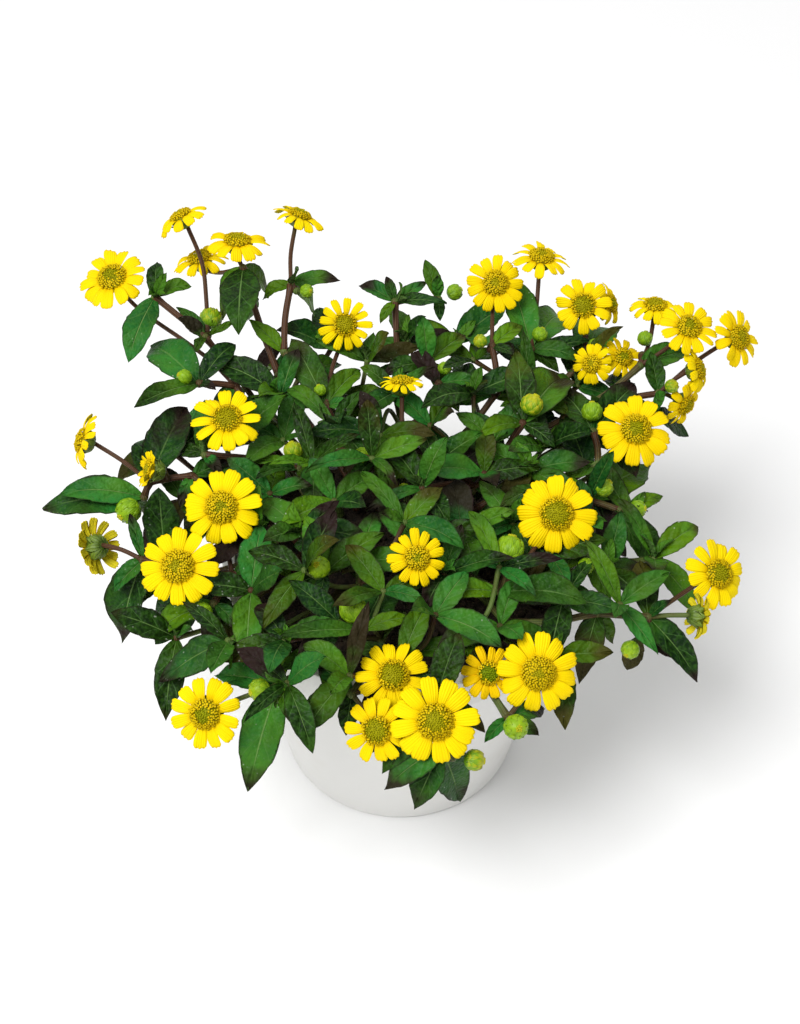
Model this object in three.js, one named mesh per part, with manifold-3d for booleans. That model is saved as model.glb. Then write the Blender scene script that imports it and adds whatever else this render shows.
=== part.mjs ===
// A creeping zinnia (Sanvitalia procumbens) in a round plastic pot.
//
// Millimetres, +Z up. The origin is the middle of the pot's flat underside, on the pot's own axis.
// The plant is a low cushion of about two dozen leafy shoots. Each shoot leaves the soil by a hole of its
// own, branches at its joints, carries pointed leaves there, and ends in round buds and in daisy-like flower
// heads of blunt petals round a domed disc.
import * as THREE from "three";
import { mergeVertices } from "three/addons/utils/BufferGeometryUtils.js";
import Module from "manifold-3d";

const wasm = await Module();
wasm.setup();

// The pot and its soil.
const POT_HEIGHT = 88;
const RIM_RADIUS = 55;
const RIM_BAND = 13;
const RIM_STEP = 2.4;
const FOOT_RADIUS = 39;
const WALL = 1.6;
const FLOOR = 2.4;
const DRAIN_RADIUS = 4;
const DRAIN_CIRCLE = 25;
const DRAIN_HOLES = 4;
const SOIL_TOP = 81;
const SEAT_GAP = 0.3;

// The plant.
const STEM_RADIUS = 1.25;
const STALK_RADIUS = 0.85;
const ROOT_DEPTH = 12;
const LEAF_THICK = 1.2;
const LEAF_SLENDER = 0.44;
const LEAF_LONGEST = 34;
const PETALS = 10;

// The reference view that the shoots were read from: a picture 800 wide and 1024 high, taken from the
// front and above and aimed at a place a little before the pot's axis. A sighting [across, down, height] is a
// place in that picture and its real height.
const VIEW = { width: 800, height: 1024, focal: 1564, distance: 450, tilt: Math.PI / 4, aim: [0, -16, 121] };

const RIGHT = new THREE.Vector3(1, 0, 0);
const ABOVE = new THREE.Vector3(0, Math.sin(VIEW.tilt), Math.cos(VIEW.tilt));
const TOWARDS = new THREE.Vector3(0, -Math.cos(VIEW.tilt), Math.sin(VIEW.tilt));
const UP = new THREE.Vector3(0, 0, 1);
const FRONT = new THREE.Vector3(0, -1, 0);
const EYE = new THREE.Vector3(...VIEW.aim).addScaledVector(TOWARDS, VIEW.distance);

// The place on a sighting's line of sight that lies at its height.
function sighted([across, down, height]) {
  const ray = TOWARDS.clone()
    .negate()
    .addScaledVector(RIGHT, (across - VIEW.width / 2) / VIEW.focal)
    .addScaledVector(ABOVE, (VIEW.height / 2 - down) / VIEW.focal);
  return EYE.clone().addScaledVector(ray, (height - EYE.z) / ray.z);
}

// The direction that a flower looks in, in degrees to the right of and above the line to the viewer.
function facing(turn, lift) {
  const t = THREE.MathUtils.degToRad(turn);
  const l = THREE.MathUtils.degToRad(lift);
  return TOWARDS.clone()
    .multiplyScalar(Math.cos(l) * Math.cos(t))
    .addScaledVector(RIGHT, Math.cos(l) * Math.sin(t))
    .addScaledVector(ABOVE, Math.sin(l));
}

// The shoots. root is where the stem leaves the soil, [x, y]. Each joint grows from the joint numbered from,
// or from the root at -1. leaves are the sightings of leaf tips. A third number is a tip's height over the
// joint. bud is the width of the bud on the joint.
// A flower is [joint, across, down, height, width, turn, lift, form].
const SHOOTS = [
  {
    root: [-14, 20],
    joints: [
      { at: [278, 374, 112], leaves: [[262, 425, -10], [302, 345]] },
      {
        from: 0, at: [243, 268, 135],
        leaves: [[183, 316, -8], [216, 318, -10], [243, 327, -12], [279, 300, -6]],
      },
    ],
    flowers: [
      [1, 237, 243, 140, 21.5, 5, 55, "open"],
      [1, 200, 260, 127, 19.5, -15, 50, "open"],
    ],
  },
  {
    root: [-4, 27],
    joints: [
      { at: [284, 352, 118], leaves: [[249, 319, 4], [322, 372, -6]] },
      {
        from: 0, at: [291, 284, 131],
        leaves: [[340, 281, 0], [259, 298, -8], [327, 320, -8], [297, 268, 4]],
      },
      { from: 1, at: [307, 291, 132], bud: 4.5, leaves: [] },
    ],
    flowers: [[1, 299, 217, 142, 18.5, 42, 57, "open"]],
  },
  {
    root: [-26, 9],
    joints: [
      { at: [236, 386, 113], leaves: [[262, 372, 0], [212, 412, -6]] },
      {
        from: 0, at: [184, 377, 120], bud: 5,
        leaves: [[145, 337], [134, 408], [236, 340, 2], [216, 389, -5]],
      },
    ],
    flowers: [[0, 113, 279, 130, 24, -14, 27, "open"]],
  },
  {
    root: [-19, 17],
    joints: [
      { at: [238, 376, 108], leaves: [] },
      { from: 0, at: [205, 337, 120], leaves: [[178, 318, -3], [196, 350, -8]] },
      { from: 1, at: [211, 318, 120], bud: 7.5, leaves: [[238, 322, -3], [192, 300, 2]] },
      { from: 1, at: [155, 297, 127], leaves: [[148, 258, 6], [102, 350, -8], [190, 280, 2]] },
    ],
    flowers: [[2, 182, 218, 140, 18.5, -50, 52, "open"]],
  },
  {
    root: [-23, 1],
    joints: [
      { at: [293, 450, 108], bud: 6, leaves: [[335, 430], [258, 440], [256, 477, -4], [300, 485, -6]] },
      { from: 0, at: [205, 455, 111], leaves: [[205, 398, 6], [222, 474, -4], [172, 452, -3]] },
    ],
    flowers: [[0, 227, 420, 121, 22.5, 0, 28, "open"]],
  },
  {
    root: [-29, -3],
    joints: [
      { at: [192, 476, 106], leaves: [[238, 460, 2], [180, 508, -5]] },
      { from: 0, at: [150, 482, 106], leaves: [[188, 405, 8], [104, 447, 2]] },
      {
        from: 1, at: [128, 511, 102], bud: 8,
        leaves: [[41, 520, -2], [65, 515, -5], [146, 522, -7], [100, 545, -9]],
      },
    ],
    flowers: [
      [1, 84, 441, 110, 18.5, -72, 14, "open"],
      [1, 152, 470, 110, 13, -62, 10, "half"],
    ],
  },
  {
    root: [-24, -11],
    joints: [
      { at: [232, 575, 102], leaves: [[262, 560, 4], [212, 598, -4]] },
      {
        from: 0, at: [202, 613, 101], bud: 6,
        leaves: [[147, 636, -4], [200, 649, -8], [242, 632, -3], [146, 612, -6]],
      },
      { from: 0, at: [143, 560, 98], leaves: [[120, 515, 4], [112, 592, -6], [117, 648, -18]] },
    ],
    flowers: [
      [0, 222, 508, 116, 24, -5, 8, "open"],
      [0, 178, 567, 111, 24, -5, 12, "open"],
      [2, 96, 547, 97, 18.5, -128, -8, "open"],
    ],
  },
  {
    root: [-15, -21],
    joints: [
      { at: [325, 654, 95], leaves: [[282, 668, -2], [335, 700, -8]] },
      {
        from: 0, at: [259, 690, 93], bud: 6.5,
        leaves: [[252, 598, 4], [247, 793, -22], [291, 723, -8], [212, 674, -3]],
      },
    ],
    flowers: [[1, 206, 713, 92, 21.5, -12, -3, "open"]],
  },
  {
    root: [-13, -9],
    joints: [
      {
        at: [319, 567, 112], bud: 6.5,
        leaves: [[304, 512, 2], [385, 533, 0], [318, 607, -8], [277, 600, -5]],
      },
      {
        from: -1, at: [364, 630, 103],
        leaves: [[411, 618, 0], [277, 622, -3], [330, 580, 6], [340, 660, -8]],
      },
      { from: 1, at: [353, 609, 107], bud: 8, leaves: [] },
    ],
    flowers: [],
  },
  {
    root: [0, -27],
    joints: [
      { at: [352, 694, 95], leaves: [[297, 712, -6], [309, 658, 0], [345, 738, -10]] },
      { from: -1, at: [442, 748, 92], leaves: [[437, 818, -18], [463, 805, -15], [383, 790, -12]] },
      { from: 1, at: [475, 760, 88], bud: 6, leaves: [] },
    ],
    flowers: [
      [0, 393, 676, 100, 21.5, 0, 20, "open"],
      [0, 377, 730, 95, 19.5, -10, 3, "open"],
      [1, 435, 721, 98, 25, 0, 3, "open"],
    ],
  },
  {
    root: [12, -24],
    joints: [
      { at: [508, 718, 92], leaves: [[525, 790, -17], [536, 746, -5], [484, 742, -8], [560, 722, -6]] },
      { from: 0, at: [516, 727, 95], bud: 7, leaves: [] },
    ],
    flowers: [
      [0, 488, 673, 100, 16, 15, 5, "open"],
      [0, 538, 673, 101, 24, 2, 3, "open"],
    ],
  },
  {
    root: [19, -14],
    joints: [
      { at: [505, 622, 95], leaves: [[490, 655, -4]] },
      { from: 0, at: [597, 613, 95], leaves: [[578, 688, -20], [613, 644, -10], [560, 580, 2]] },
      { from: 1, at: [648, 617, 95], leaves: [[640, 556, 4], [702, 683, -14], [670, 600, 2]] },
      { from: 2, at: [630, 650, 90], bud: 5.5, leaves: [[684, 660, -6], [626, 674, -8]] },
    ],
    flowers: [
      [2, 717, 574, 100, 21.5, 24, 10, "open"],
      [2, 699, 616, 93, 15, 108, -5, "open"],
    ],
  },
  {
    root: [13, -9],
    joints: [
      { at: [500, 592, 102], leaves: [[559, 603, -3], [590, 583, 0], [440, 592, 4]] },
      { from: 0, at: [510, 548, 108], bud: 8.5, leaves: [[475, 520, 0]] },
    ],
    flowers: [[0, 556, 514, 113, 25, 0, 5, "open"]],
  },
  {
    root: [25, -3],
    joints: [
      { at: [604, 487, 105], bud: 6, leaves: [[655, 463, -2], [593, 553, -8], [612, 452, 4]] },
      { from: 0, at: [638, 509, 102], bud: 5.5, leaves: [[640, 557, -12], [612, 520, -4]] },
      { from: 0, at: [586, 566, 101], bud: 5, leaves: [[612, 603, -6], [530, 572, -3], [562, 545, 2]] },
    ],
    flowers: [],
  },
  {
    root: [23, 8],
    joints: [
      { at: [598, 464, 106], leaves: [[560, 480, -2]] },
      { from: 0, at: [592, 411, 115], bud: 6.5, leaves: [[609, 361, 4], [556, 385, 2], [560, 440, -4]] },
      { from: 0, at: [652, 412, 110], leaves: [[690, 443, -5], [670, 385, 2]] },
    ],
    flowers: [[0, 635, 430, 115, 24, 5, 14, "open"]],
  },
  {
    root: [14, 4],
    joints: [
      { at: [532, 404, 120], bud: 7, leaves: [[517, 350, 4], [583, 354, 2], [480, 432, -2], [556, 446, -6]] },
      {
        from: -1, at: [530, 470, 107],
        leaves: [[475, 445, 4], [592, 462, 2], [500, 510, -4], [578, 500, -3]],
      },
    ],
    flowers: [],
  },
  {
    root: [27, 16],
    joints: [
      { at: [630, 398, 110], leaves: [[655, 420, -4], [600, 372, 0]] },
      { from: 0, at: [672, 386, 118], bud: 4.5, leaves: [[708, 405, -4], [650, 352, 4]] },
    ],
    flowers: [
      [1, 737, 338, 126, 19.5, 34, 6, "open"],
      [1, 697, 370, 117, 16, 62, 10, "open"],
      [1, 684, 404, 110, 16, 50, -28, "open"],
    ],
  },
  {
    root: [22, 23],
    joints: [
      { at: [640, 366, 117], leaves: [[628, 319, 6], [692, 352, 2], [610, 345, 2]] },
      { from: 0, at: [645, 338, 121], bud: 5, leaves: [] },
    ],
    flowers: [
      [0, 655, 307, 126, 17.5, 0, 48, "open"],
      [0, 688, 328, 126, 19.5, 10, 25, "open"],
    ],
  },
  {
    root: [15, 28],
    joints: [
      { at: [595, 345, 117], bud: 4.5, leaves: [[605, 315, 4], [570, 340, 0], [630, 330, 0]] },
    ],
    flowers: [
      [0, 583, 306, 126, 19.5, -3, 5, "open"],
      [0, 609, 304, 124, 15, 55, 10, "open"],
      [0, 592, 364, 116, 14, -20, 0, "open"],
      [0, 622, 358, 117, 15, 20, 20, "open"],
    ],
  },
  {
    root: [7, 25],
    joints: [
      { at: [497, 392, 112], leaves: [[455, 405, -4], [540, 385, -2]] },
      {
        from: 0, at: [492, 346, 121],
        leaves: [[431, 357, -3], [465, 308, 4], [524, 322, 2], [515, 355, -4]],
      },
      { from: 1, at: [480, 341, 124], bud: 4.5, leaves: [] },
      {
        from: 0, at: [540, 334, 121], bud: 5,
        leaves: [[573, 302, 4], [528, 276, 8], [582, 352, -4], [560, 372, -8]],
      },
    ],
    flowers: [
      [1, 495, 284, 132, 20.5, 0, 8, "open"],
      [3, 541, 259, 135, 20.5, 8, 48, "open"],
    ],
  },
  {
    root: [-5, 14],
    joints: [
      { at: [320, 390, 115], bud: 4, leaves: [[303, 323, 4], [270, 400, -4], [362, 366, 0], [352, 402, -4]] },
    ],
    flowers: [[0, 345, 325, 122, 18.5, 0, 6, "open"]],
  },
  {
    root: [1, 31],
    joints: [
      {
        at: [395, 302, 121],
        leaves: [[357, 283, 2], [386, 276, 6], [427, 282, 2], [447, 303, -3], [380, 322, -4]],
      },
      { from: 0, at: [455, 292, 121], bud: 5.5, leaves: [[425, 260, 6], [437, 275, 4], [440, 320, -6]] },
    ],
    flowers: [],
  },
  {
    root: [3, 6],
    joints: [
      { at: [402, 450, 107], leaves: [[345, 480, -4], [440, 480, -5], [430, 420, 4], [352, 430, 2]] },
      { from: 0, at: [362, 455, 111], bud: 5, leaves: [[340, 500, -6], [398, 500, -4]] },
      { from: 0, at: [445, 368, 117], bud: 4.5, leaves: [[480, 380, 0], [410, 350, 2], [440, 405, -4]] },
      {
        from: -1, at: [417, 545, 105],
        leaves: [[376, 499, 6], [465, 501, 4], [475, 568, -2], [380, 600, -6]],
      },
      { from: 3, at: [404, 490, 107], bud: 4.5, leaves: [[436, 505, -3]] },
    ],
    flowers: [
      [0, 402, 384, 122, 14, 0, 68, "young"],
      [3, 417, 558, 112, 17.5, 0, 5, "open"],
    ],
  },
];

// A number from 0 to 1 that looks drawn by chance but is the same for the same seed.
function chance(seed) {
  const wave = Math.sin(seed * 12.9898 + 4.1) * 43758.5453;
  return wave - Math.floor(wave);
}

// A skin over rings of points that all have the same count. Each end is a point that is given, FLAT, or OPEN
// where the skin grows from a face of something else.
const FLAT = "flat";
const OPEN = "open";

function skin(rings, start, end) {
  const points = rings.flat();
  const count = rings[0].length;
  const last = points.length - count;
  const faces = [];
  for (let k = 0; k < last; k += count) {
    for (let i = 0; i < count; i += 1) {
      const a = k + i;
      const b = k + ((i + 1) % count);
      faces.push(a, b, b + count, a, b + count, a + count);
    }
  }
  const close = (first, how, flip) => {
    if (how === OPEN) return;
    const pointed = how !== FLAT;
    if (pointed) points.push(how);
    const hub = pointed ? points.length - 1 : first;
    for (let i = pointed ? 0 : 1; i < (pointed ? count : count - 1); i += 1) {
      const a = first + i;
      const b = first + ((i + 1) % count);
      faces.push(hub, flip ? b : a, flip ? a : b);
    }
  };
  close(0, start, true);
  close(last, end, false);
  return meshed(points, faces);
}

function meshed(points, faces) {
  const geometry = new THREE.BufferGeometry().setFromPoints(points);
  geometry.setIndex(faces);
  return geometry;
}

// Between three.js geometry and the solids that are joined and cut.
function solidOf(geometry) {
  const bare = geometry.clone();
  bare.deleteAttribute("normal");
  bare.deleteAttribute("uv");
  const merged = mergeVertices(bare, 1e-4);
  return new wasm.Manifold(
    new wasm.Mesh({
      numProp: 3,
      vertProperties: Float32Array.from(merged.attributes.position.array),
      triVerts: Uint32Array.from(merged.index.array),
    }),
  );
}

function geometryOf(solid) {
  const mesh = solid.getMesh();
  const geometry = new THREE.BufferGeometry();
  geometry.setAttribute("position", new THREE.BufferAttribute(mesh.vertProperties, 3));
  geometry.setIndex(new THREE.BufferAttribute(mesh.triVerts, 1));
  return geometry;
}

// The pot: a thin tapered shell with a band round its rim and drain holes in its floor.
const SHOULDER_RADIUS = RIM_RADIUS - RIM_STEP;
const ROUNDING = 1;
const WALL_SIDES = 32;

function innerRadius(height) {
  const share = (height - FLOOR) / (POT_HEIGHT - FLOOR);
  return THREE.MathUtils.lerp(FOOT_RADIUS, SHOULDER_RADIUS, share) - WALL;
}

function lathed(profile, segments) {
  const points = profile.map(([radius, height]) => new THREE.Vector2(radius, height));
  return new THREE.LatheGeometry(points, segments).rotateX(Math.PI / 2);
}

function potSolid() {
  const shell = solidOf(
    lathed(
      [
        [0, 0],
        [FOOT_RADIUS - ROUNDING, 0],
        [FOOT_RADIUS, ROUNDING],
        [SHOULDER_RADIUS - 1, POT_HEIGHT - RIM_BAND - ROUNDING],
        [RIM_RADIUS - ROUNDING, POT_HEIGHT - RIM_BAND],
        [RIM_RADIUS, POT_HEIGHT - ROUNDING],
        [RIM_RADIUS - ROUNDING, POT_HEIGHT],
        [innerRadius(POT_HEIGHT), POT_HEIGHT],
        [innerRadius(FLOOR), FLOOR],
        [0, FLOOR],
      ],
      WALL_SIDES,
    ),
  );
  let pot = shell;
  for (let i = 0; i < DRAIN_HOLES; i += 1) {
    const turn = ((i + 0.5) / DRAIN_HOLES) * 2 * Math.PI;
    const drill = new THREE.CylinderGeometry(DRAIN_RADIUS, DRAIN_RADIUS, 4 * FLOOR, 7).rotateX(Math.PI / 2);
    drill.translate(DRAIN_CIRCLE * Math.cos(turn), DRAIN_CIRCLE * Math.sin(turn), 0);
    pot = pot.subtract(solidOf(drill));
  }
  return pot;
}

// The soil: it fills the pot to just under the rim. Its top is crumbly and a little higher in the middle.
function soilHeight(x, y) {
  const mound = 1.5 * Math.cos((Math.PI * Math.hypot(x, y)) / (2 * RIM_RADIUS));
  const crumbs = Math.sin(0.63 * x + 1.3 * Math.sin(0.4 * y)) * Math.cos(0.57 * y + Math.sin(0.5 * x));
  return SOIL_TOP + mound + 0.7 * crumbs;
}

function soilSolid() {
  const foot = FLOOR + SEAT_GAP;
  const shoulder = SOIL_TOP - 2;
  const rings = [0.98, 0.72, 0.45, 0.2, 0];
  const within = (height) => innerRadius(height) * Math.cos(Math.PI / WALL_SIDES) - SEAT_GAP;
  const brim = within(shoulder);
  const geometry = lathed(
    [
      [0, foot],
      [within(foot), foot],
      [brim, shoulder],
      ...rings.map((share) => [share * brim, SOIL_TOP]),
    ],
    20,
  );
  const place = geometry.attributes.position;
  for (let i = 0; i < place.count; i += 1) {
    if (place.getZ(i) > SOIL_TOP - 1) place.setZ(i, soilHeight(place.getX(i), place.getY(i)));
  }
  return solidOf(geometry);
}

// Stems. A stem runs from one place to another, leaves the first along one direction and reaches the second
// along another. sway pushes its middle sideways.
const BEND = 0.36;

function stemCurve(from, leaving, to, arriving, sway) {
  const reach = from.distanceTo(to) * BEND;
  const along = to.clone().sub(from);
  const across = along.clone().cross(leaving.clone().add(arriving));
  if (across.length() < 0.001) across.copy(RIGHT);
  across.normalize();
  const over = across.clone().cross(along).normalize();
  const push = across.multiplyScalar(sway[0]).addScaledVector(over, sway[1]);
  return new THREE.CubicBezierCurve3(
    from,
    from.clone().addScaledVector(leaving, reach).add(push),
    to.clone().addScaledVector(arriving, -reach).add(push),
    to,
  );
}

// The two directions square to a run.
function squareTo(run, across) {
  const side = across.clone().addScaledVector(run, -across.dot(run)).normalize();
  return [side, run.clone().cross(side)];
}

// A ring round a curve, with its first corner towards across. Stems are three-sided.
const STEM_SIDES = 3;

function stemRing(curve, t, radius, across, sides = STEM_SIDES) {
  const [side, over] = squareTo(curve.getTangent(t), across);
  return Array.from({ length: sides }, (_, i) => {
    const turn = (i / sides) * 2 * Math.PI;
    const out = side.clone().multiplyScalar(Math.cos(turn)).addScaledVector(over, Math.sin(turn));
    return curve.getPoint(t).addScaledVector(out, radius);
  });
}

// A joint is a small many-faced swelling, and a bud is a larger one. All that grows there leaves by a face of
// its own, the free one that looks most nearly its way. One face looks straight back along the run.
function outward([a, b, c]) {
  return new THREE.Triangle(a, b, c).getNormal(new THREE.Vector3());
}

function swellingFaces(geometry) {
  const place = geometry.attributes.position;
  const corner = (_, i) => new THREE.Vector3().fromBufferAttribute(place, i);
  const corners = Array.from({ length: place.count }, corner);
  const triples = Array.from({ length: place.count / 3 }, (_, i) => corners.slice(3 * i, 3 * i + 3));
  const turn = new THREE.Quaternion().setFromUnitVectors(outward(triples[0]), UP.clone().negate());
  corners.forEach((each) => each.applyQuaternion(turn));
  return triples;
}

const EIGHT_FACES = swellingFaces(new THREE.OctahedronGeometry(1));
const TWENTY_FACES = swellingFaces(new THREE.IcosahedronGeometry(1));

function swelling(centre, radius, run, pattern) {
  const turn = new THREE.Quaternion().setFromUnitVectors(UP, run);
  const faces = pattern.map((face) =>
    face.map((corner) => corner.clone().applyQuaternion(turn).multiplyScalar(radius).add(centre)),
  );
  return { centre, radius, run, faces, free: [...faces] };
}

function takeFace(joint, direction) {
  const nearness = (face) => outward(face).dot(direction);
  const face = joint.free.reduce((best, next) => (nearness(next) > nearness(best) ? next : best));
  joint.free.splice(joint.free.indexOf(face), 1);
  return [...face];
}

function facesGeometry(faces) {
  return meshed(faces.flat(), faces.flatMap((face, i) => [3 * i, 3 * i + 1, 3 * i + 2]));
}

// The ring with its corners renumbered so that they lie nearest to those of another ring.
function matched(ring, other) {
  const turned = [0, 1, 2].map((shift) => ring.map((_, i) => ring[(i + shift) % 3]));
  const stretch = (trial) => trial.reduce((sum, corner, i) => sum + corner.distanceTo(other[i]), 0);
  return turned.reduce((best, next) => (stretch(next) < stretch(best) ? next : best));
}

// A leaf: a pointed oval blade, arched along its midrib, thick along the midrib and sharp at its edges.
const LEAF_STATIONS = [
  [0.37, 1],
  [0.73, 0.68],
];
const LOOKOUT = UP.clone().multiplyScalar(0.8).addScaledVector(TOWARDS, 0.6).normalize();

function leafCurve(base, tip, arch) {
  const middle = base.clone().lerp(tip, 0.5);
  middle.z += arch * base.distanceTo(tip);
  return new THREE.QuadraticBezierCurve3(base, middle, tip);
}

function leafRings(base, tip, breadth, arch, spare = 0) {
  const curve = leafCurve(base, tip, arch);
  const across = tip.clone().sub(base).cross(LOOKOUT).normalize();
  return LEAF_STATIONS.map(([share, width]) => {
    const [side, under] = squareTo(curve.getTangent(share), across);
    const middle = curve.getPoint(share);
    const half = 0.5 * breadth * width + spare;
    const thick = 0.5 * LEAF_THICK + spare;
    return [
      middle.clone().addScaledVector(side, half).addScaledVector(under, -thick),
      middle.clone().addScaledVector(under, thick),
      middle.clone().addScaledVector(side, -half).addScaledVector(under, -thick),
    ];
  });
}

// A flower head, built round its own axis: the dome of the disc, the ring of blunt petals, each sharp at its
// edges and thick along its middle, and the green cup behind. It is one closed body. The petals of a
// half-open head still stand up.
const FORMS = {
  open: { disc: 0.43, cup: 0.06, cupDepth: 3.4 },
  young: { disc: 0.5, cup: 0.2, cupDepth: 3.6 },
  half: { disc: 0.52, cup: 0.9, cupDepth: 4 },
};
const CUP_FOOT = 1.7;
const PETAL_THICK = 0.8;
const PETAL_FILL = 0.9;
const SHOULDER = 0.76;
const DOME = 0.55;

function flowerSkin(centre, axis, width, form, seed, spare = 0) {
  const { disc, cup, cupDepth } = FORMS[form];
  const pitch = (2 * Math.PI) / PETALS;
  const spin = chance(seed + 0.5) * 2 * Math.PI;
  const reach = width / 2;
  const rim = disc * reach;
  const thick = PETAL_THICK / 2 + spare;
  const [side, over] = squareTo(axis, Math.abs(axis.x) < 0.9 ? RIGHT : UP);
  const points = [];
  const faces = [];
  const add = (radius, turn, height) => {
    const out = side.clone().multiplyScalar(Math.cos(turn)).addScaledVector(over, Math.sin(turn));
    return points.push(centre.clone().addScaledVector(out, radius).addScaledVector(axis, height)) - 1;
  };
  const ring = (radius, height) => {
    const first = points.length;
    for (let i = 0; i < PETALS; i += 1) add(radius, spin + i * pitch, height);
    return first;
  };
  const top = add(0, 0, DOME * rim + spare);
  const front = ring(rim, thick);
  const back = ring(rim, -thick);
  const foot = ring(CUP_FOOT + spare, -cupDepth - spare);

  for (let i = 0; i < PETALS; i += 1) {
    const j = (i + 1) % PETALS;
    faces.push(top, front + i, front + j);
    faces.push(back + i, foot + i, foot + j, back + i, foot + j, back + j);
    if (i > 0 && j > 0) faces.push(foot, foot + j, foot + i);
  }
  for (let i = 0; i < PETALS; i += 1) {
    const j = (i + 1) % PETALS;
    const middle = spin + (i + 0.5) * pitch;
    const length = reach * (0.94 + 0.06 * chance(seed + 3 * i)) - rim + spare;
    const lift = cup + 0.14 * (chance(seed + 5 * i) - 0.5);
    const wide = PETAL_FILL * (rim + SHOULDER * length) * Math.tan(pitch / 2) + spare;
    const at = (share, half, height) => {
      const out = rim + share * length * Math.cos(lift);
      const rise = share * length * Math.sin(lift) + height;
      return add(Math.hypot(out, half), middle + Math.atan2(half, out), rise);
    };
    const outline = [at(SHOULDER, -wide, 0), at(1, 0, 0), at(SHOULDER, wide, 0)];
    const crest = at(0.5, 0, 2 * thick);
    const upper = [front + i, ...outline, front + j];
    upper.forEach((point, k) => faces.push(crest, point, upper[(k + 1) % upper.length]));
    const [left, end, right] = outline;
    faces.push(back + i, back + j, right, back + i, right, left, left, right, end);
    faces.push(front + i, back + i, left, front + j, right, back + j);
  }
  return meshed(points, faces);
}

// What already stands in place. A piece that would touch or come near it is nudged until it is clear.
const CLEARANCE = 0.35;
const TOUCH = 0.002;
const standing = [];

function stand(owner, geometry) {
  const solid = solidOf(geometry);
  standing.push({ owner, solid, box: solid.boundingBox() });
  return solid;
}

function boxesMeet(a, b) {
  return [0, 1, 2].every((axis) => a.min[axis] <= b.max[axis] && b.min[axis] <= a.max[axis]);
}

function isClear(geometry, concerns, allowed = 0) {
  const trial = solidOf(geometry);
  const box = trial.boundingBox();
  const clear = standing.every((piece) => {
    if (!concerns(piece.owner) || !boxesMeet(box, piece.box)) return true;
    const common = trial.intersect(piece.solid);
    const apart = common.isEmpty() || common.volume() < allowed;
    common.delete();
    return apart;
  });
  trial.delete();
  return clear;
}

// What the first choice that works out gives.
function firstOf(choices, attempt) {
  for (const choice of choices) {
    const found = attempt(...choice);
    if (found) return found;
  }
  return null;
}

// Every mix of the given choices, the mildest first. Each choice is a value and what it costs.
function nudges(...choices) {
  let mixes = [[]];
  for (const choice of choices) {
    mixes = mixes.flatMap((mix) => choice.map((entry) => [...mix, entry]));
  }
  const effort = (mix) => mix.reduce((sum, [, cost]) => sum + cost, 0);
  mixes.sort((a, b) => effort(a) - effort(b));
  return mixes.map((mix) => mix.map(([value]) => value));
}

const SWAYS = nudges(
  [[0, 0], [3, 1], [-3, 1], [6, 2], [-6, 2], [10, 4], [-10, 4], [14, 6], [-14, 6]],
  [[0, 0], [4, 1.1], [-4, 1.1], [8, 2.1], [-8, 2.1]],
);
const SLIDES = nudges(
  [[0, 0], [2, 1], [-2, 1], [4, 2], [-4, 2], [6, 3], [-6, 3], [9, 4], [-9, 4], [12, 5], [-12, 5]],
);
const LEAF_NUDGES = nudges(
  [[0, 0], [3, 1], [-3, 1], [6, 2], [-6, 2], [10, 3.4], [-10, 3.4], [15, 5], [-15, 5]],
  [[0, 0], [12, 1.5], [-12, 1.5], [24, 3], [-24, 3], [38, 5], [-38, 5]],
  [[1, 0], [0.86, 2], [0.72, 4.5]],
);

// The shoots. A shoot gathers the open skins of its stems and leaves and the faces that its joints have left.
const CROWN = SOIL_TOP + 6;
const STEM_STEP = 13;
const NODE_STEP = 24;
const LEAN = 0.35;
const JOINT_RADIUS = 2.1;
const NECK = 1.2;
const BUSY = 6;

const pot = potSolid();
standing.push({ owner: "pot", solid: pot, box: pot.boundingBox() });

const twoDigits = (number) => String(number).padStart(2, "0");

function addJoint(shoot, joint) {
  stand(shoot.name, facesGeometry(joint.faces));
  shoot.joined.push(joint);
  return joint;
}

function knob(place, run, branches) {
  return swelling(place, JOINT_RADIUS, run, branches > BUSY ? TWENTY_FACES : EIGHT_FACES);
}

function stepsFor(curve, share) {
  return Math.max(2, Math.round((curve.getLength() * share) / STEM_STEP));
}

// A stem from one joint to another, or to a free end, along a curve from its share t0 to its share t1.
function stemRings(curve, radius, from, to, t0 = 0, t1 = 1) {
  const start = takeFace(from, curve.getTangent(t0));
  const across = start[0].clone().sub(from.centre);
  const steps = stepsFor(curve, t1 - t0);
  const rings = [];
  const share = (t1 - t0) / steps;
  for (let k = 1; k < steps; k += 1) rings.push(stemRing(curve, t0 + share * k, radius, across));
  const last = rings[rings.length - 1];
  const back = curve.getTangent(t1).negate();
  const end = to ? takeFace(to, back).reverse() : stemRing(curve, t1, radius, across);
  return [matched(start, rings[0]), ...rings, matched(end, last)];
}

function addStem(shoot, rings, end = OPEN) {
  stand(shoot.name, skin(rings, FLAT, FLAT));
  shoot.skins.push(skin(rings, OPEN, end));
}

// Whether a joint or bud, turned any way, is clear of what it concerns.
const ROOMY = 1.1;

function hasRoom(place, radius, concerns) {
  const ball = swelling(place, ROOMY * radius + CLEARANCE, UP, TWENTY_FACES);
  return isClear(facesGeometry(ball.faces), concerns);
}

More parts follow.
